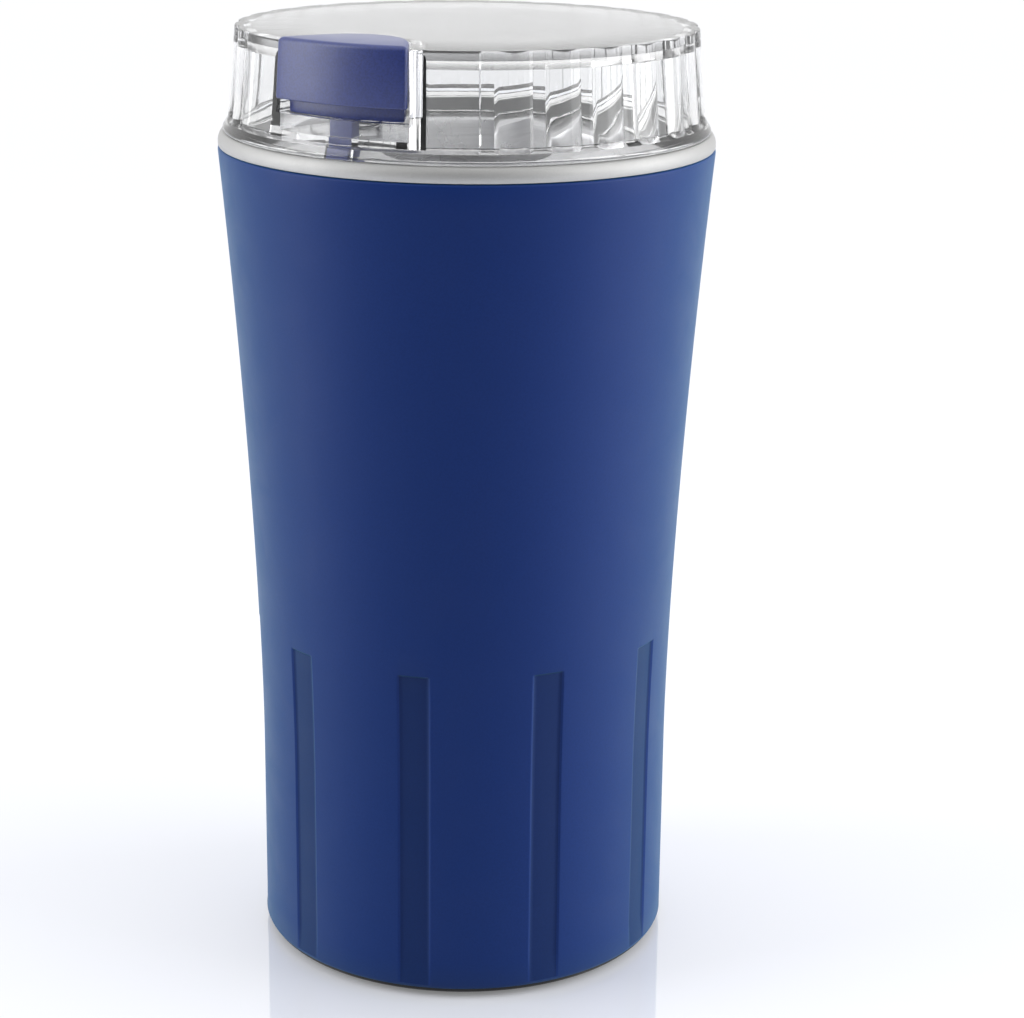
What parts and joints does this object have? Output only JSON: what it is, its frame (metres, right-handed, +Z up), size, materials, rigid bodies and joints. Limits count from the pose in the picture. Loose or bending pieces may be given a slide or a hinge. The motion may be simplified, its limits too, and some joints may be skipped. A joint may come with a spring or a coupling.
{
  "type": "electric spice grinder",
  "caption": "Tapered electric spice grinder with a steel bowl and blade over a motor, grip grooves at its foot, and a clear lid whose push button works the switch.",
  "frame": {"origin": "on the supporting surface, under the motor's axis", "axes": "+Z up along the motor's axis; the button faces -Y and the cord inlet +Y"},
  "size_m": [0.1, 0.1, 0.1931],
  "materials": {
    "casing_blue": "satin moulded plastic with a soft sheen",
    "button_blue": "fine-grained moulded plastic",
    "clear_plastic": "polished clear plastic",
    "ring_silver": "satin",
    "bowl_steel": "brushed",
    "blade_steel": "ground edges",
    "fastener_steel": "zinc plated",
    "black_plastic": "matt moulded",
    "frame_plastic": "matt moulded, glass filled",
    "white_plastic": "smooth",
    "black_rubber": "matt",
    "core_iron": "stacked sheet with a varnish",
    "winding_copper": "varnished wire",
    "bearing_bronze": "sintered",
    "bracket_alloy": "die cast",
    "carbon": "pressed carbon",
    "suppressor_yellow": "dipped resin",
    "lead_red": "smooth insulation",
    "lead_blue": "smooth insulation"
  },
  "bodies": {
    "root": {"outer_casing": "casing_blue", "base_cover": "black_plastic", "foot_front_left": "black_rubber", "foot_front_right": "black_rubber", "foot_rear_left": "black_rubber", "foot_rear_right": "black_rubber", "base_screws": "fastener_steel", "rim_ring": "ring_silver", "bowl": "bowl_steel", "bowl_carrier": "frame_plastic", "shaft_seal": "white_plastic", "cord_grommet": "black_rubber", "cord_clamp": "black_plastic", "clamp_screws": "fastener_steel", "terminal_block": "white_plastic", "suppressor": "suppressor_yellow", "stator_core": "core_iron", "field_coil_left": "winding_copper", "field_coil_right": "winding_copper", "upper_bracket": "bracket_alloy", "lower_bracket": "bracket_alloy", "upper_bearing": "bearing_bronze", "lower_bearing": "bearing_bronze", "motor_mounts": "black_rubber", "mount_screws": "fastener_steel", "bracket_screws": "fastener_steel", "brush_holder_left": "bearing_bronze", "brush_holder_right": "bearing_bronze", "carbon_brush_left": "carbon", "carbon_brush_right": "carbon", "brush_spring_left": "fastener_steel", "brush_spring_right": "fastener_steel", "micro_switch": "black_plastic", "switch_screws": "fastener_steel", "thermal_cutout": "white_plastic", "switch_leads": "lead_red", "motor_leads": "lead_blue", "rod_spring": "fastener_steel"},
    "lid": {"lid_shell": "clear_plastic", "button_spring": "fastener_steel"},
    "button": {"button_cap": "button_blue", "button_stem": "button_blue"},
    "switch_rod": {"switch_rod": "white_plastic", "switch_plunger": "lead_red"},
    "rotor": {"drive_shaft": "fastener_steel", "armature_core": "core_iron", "armature_windings": "winding_copper", "commutator": "winding_copper", "cooling_fan": "black_plastic", "blade_hub": "fastener_steel", "blade": "blade_steel", "blade_nut": "fastener_steel"}
  },
  "joints": [
    {"name": "lid_lift", "type": "slide", "parent": "root", "child": "lid", "axis": [0, 0, 1], "range_m": [0, 0.06]},
    {"name": "button_press", "type": "slide", "parent": "lid", "child": "button", "axis": [0, 0, -1], "range_m": [0, 0.0024], "stiffness_N_per_m": 600, "springref_m": -0.003, "deforming": ["button_spring"]},
    {"name": "rod_press", "type": "slide", "parent": "root", "child": "switch_rod", "axis": [0, 0, -1], "range_m": [0, 0.0024], "stiffness_N_per_m": 300, "springref_m": -0.003, "deforming": ["rod_spring"]},
    {"name": "rotor_spin", "type": "hinge", "parent": "root", "child": "rotor", "pos_m": [0, 0, 0.1], "axis": [0, 0, 1], "continuous": true}
  ],
  "couplings": [
    {"joint": "rod_press", "follows": "button_press", "ratio": 1}
  ]
}
